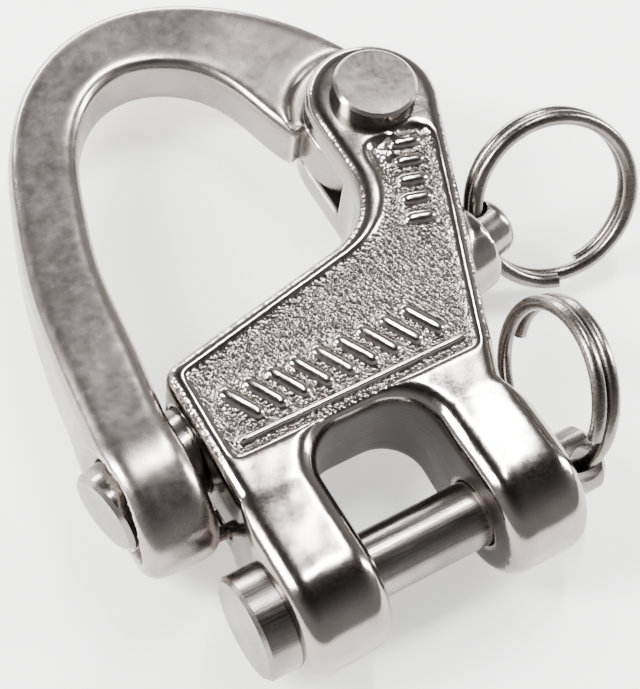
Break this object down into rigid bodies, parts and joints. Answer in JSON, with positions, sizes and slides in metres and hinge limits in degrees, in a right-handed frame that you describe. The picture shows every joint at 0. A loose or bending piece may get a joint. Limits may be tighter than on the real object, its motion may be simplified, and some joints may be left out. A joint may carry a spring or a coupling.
{
  "type": "snap shackle",
  "caption": "Fork snap shackle: cast body with a clevis jaw and pin, a hinged bow locked by a sprung plunger with a split pull ring.",
  "frame": {"origin": "on the clevis pin's axis, in the middle of the jaw and of the body's thickness", "axes": "+X along the clevis pin from its head to its ring end; +Y the load direction, from the clevis towards the bow's crown; +Z square to the body's flat, out of its front face"},
  "size_m": [0.0614, 0.0673, 0.0186],
  "materials": {
    "cast_body": "cast, polished on the edges, grained in the panels",
    "rivet": "flat polished",
    "cast_bow": "satin, hand polished",
    "dowel": "drawn wire",
    "plunger": "turned",
    "spring": "drawn wire",
    "pull_ring_wire": "drawn wire, satin",
    "clevis_pin": "turned, drawn satin",
    "clevis_ring_wire": "drawn wire, satin"
  },
  "bodies": {
    "body": {"body_casting": "cast_body", "hinge_rivet": "rivet"},
    "bow": {"bow": "cast_bow", "locating_dowel": "dowel"},
    "plunger": {"plunger": "plunger", "plunger_spring": "spring"},
    "pull_ring": {"pull_ring": "pull_ring_wire"},
    "clevis_pin": {"clevis_pin": "clevis_pin"},
    "clevis_ring": {"clevis_ring": "clevis_ring_wire"}
  },
  "joints": [
    {"name": "bow_swing", "type": "hinge", "parent": "body", "child": "bow", "pos_m": [0.0182, 0.039, 0], "axis": [0, 0, -1], "range_deg": [0, 104]},
    {"name": "plunger_pull", "type": "slide", "parent": "body", "child": "plunger", "axis": [0.9781, 0.2079, 0], "range_m": [0, 0.0096], "stiffness_N_per_m": 600, "springref_m": -0.006, "deforming": ["plunger_spring"]},
    {"name": "pull_ring_swing", "type": "hinge", "parent": "plunger", "child": "pull_ring", "pos_m": [0.02187, 0.024, 0], "axis": [-0.1336, 0.6287, 0.766], "range_deg": [-45, 45]},
    {"name": "clevis_pin_turn", "type": "hinge", "parent": "body", "child": "clevis_pin", "pos_m": [0, 0, 0], "axis": [1, 0, 0], "continuous": true},
    {"name": "clevis_ring_swing", "type": "hinge", "parent": "clevis_pin", "child": "clevis_ring", "pos_m": [0.0161, 0, 0], "axis": [0, 0.5, -0.866], "range_deg": [0, 55]}
  ]
}
